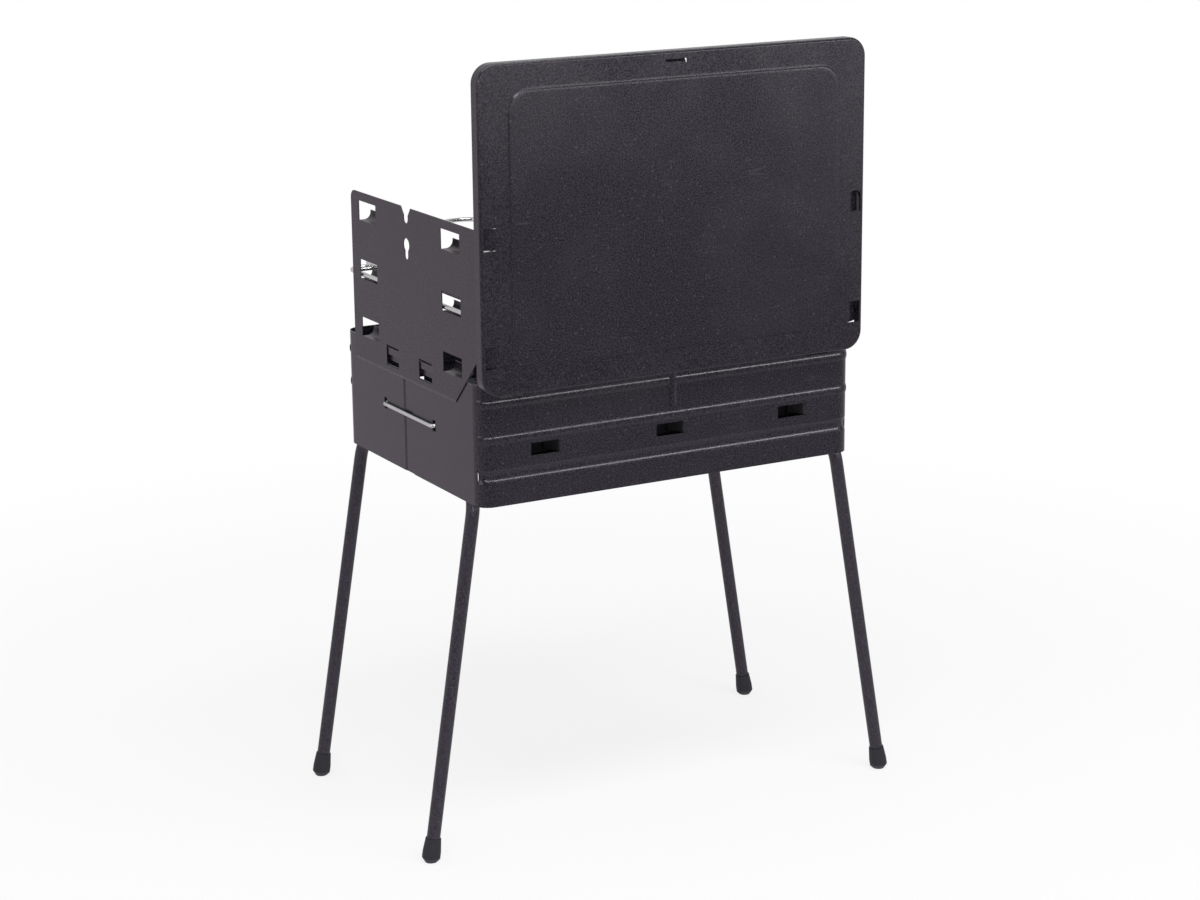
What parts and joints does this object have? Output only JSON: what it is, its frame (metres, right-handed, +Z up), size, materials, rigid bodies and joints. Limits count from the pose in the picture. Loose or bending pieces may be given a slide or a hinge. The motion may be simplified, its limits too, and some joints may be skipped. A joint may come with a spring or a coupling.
{
  "type": "portable charcoal grill",
  "caption": "Folding suitcase-type charcoal grill: beaded sheet-steel box on U-shaped leg frames, upright lid as wind shield, end panels with rack hooks, wire rack.",
  "frame": {"origin": "on the ground under the middle of the whole object's bounding box", "axes": "+X to the user's right along the box, +Y to the back where the lid stands, +Z up"},
  "size_m": [0.5122, 0.465, 0.741],
  "materials": {
    "dark_enamel": "satin speckled stove enamel",
    "panel_enamel": "smooth satin stove enamel",
    "leg_enamel": "hammered dark powder coat",
    "bright_wire": "bright plated wire",
    "bail_wire": "drawn steel wire",
    "aluminised_plate": "dull aluminised sheet",
    "fire_enamel": "matt black stove enamel",
    "black_rubber": "matte moulded"
  },
  "bodies": {
    "box": {"rear_shell": "dark_enamel", "front_shell": "dark_enamel", "base_plate": "fire_enamel", "right_leg_clips": "aluminised_plate", "left_leg_clips": "aluminised_plate", "clip_rivets": "bail_wire"},
    "lid": {"lid": "dark_enamel"},
    "end_panels": {"right_panel": "panel_enamel", "left_panel": "panel_enamel"},
    "rack": {"rack_frame": "bright_wire", "rack_bars": "bright_wire", "rack_handle": "bright_wire"},
    "charcoal_grate": {"charcoal_grate": "fire_enamel"},
    "right_bail": {"right_bail": "bail_wire"},
    "left_bail": {"left_bail": "bail_wire"},
    "right_legs": {"right_leg_frame": "leg_enamel", "right_rear_foot": "black_rubber", "right_front_foot": "black_rubber"},
    "left_legs": {"left_leg_frame": "leg_enamel", "left_front_foot": "black_rubber", "left_rear_foot": "black_rubber"}
  },
  "joints": [
    {"name": "lid_hinge", "type": "hinge", "parent": "box", "child": "lid", "pos_m": [0, 0.21785, 0.4473], "axis": [1, 0, 0], "range_deg": [0, 90]},
    {"name": "end_panels_lift_off", "type": "slide", "parent": "box", "child": "end_panels", "axis": [0, -0.9806, 0.1961], "range_m": [0, 0.4325]},
    {"name": "rack_lift", "type": "slide", "parent": "end_panels", "child": "rack", "axis": [0, 0, 1], "range_m": [0, 0.03]},
    {"name": "charcoal_grate_lift", "type": "slide", "parent": "box", "child": "charcoal_grate", "axis": [0, 0, 1], "range_m": [0, 0.04]},
    {"name": "right_bail_slide", "type": "slide", "parent": "box", "child": "right_bail", "axis": [1, 0, 0], "range_m": [0, 0.029]},
    {"name": "left_bail_slide", "type": "slide", "parent": "box", "child": "left_bail", "axis": [-1, 0, 0], "range_m": [0, 0.029]},
    {"name": "right_leg_fold", "type": "hinge", "parent": "box", "child": "right_legs", "pos_m": [0.1885, 0.07275, 0.364], "axis": [0, 1, 0], "range_deg": [0, 96.8]},
    {"name": "left_leg_fold", "type": "hinge", "parent": "box", "child": "left_legs", "pos_m": [-0.1885, 0.07275, 0.364], "axis": [0, -1, 0], "range_deg": [0, 96.8]}
  ],
  "couplings": [
    {"joint": "end_panels_lift_off", "follows": "lid_hinge", "m_per_rad": 0.27502},
    {"joint": "left_leg_fold", "follows": "right_leg_fold", "ratio": 1}
  ]
}
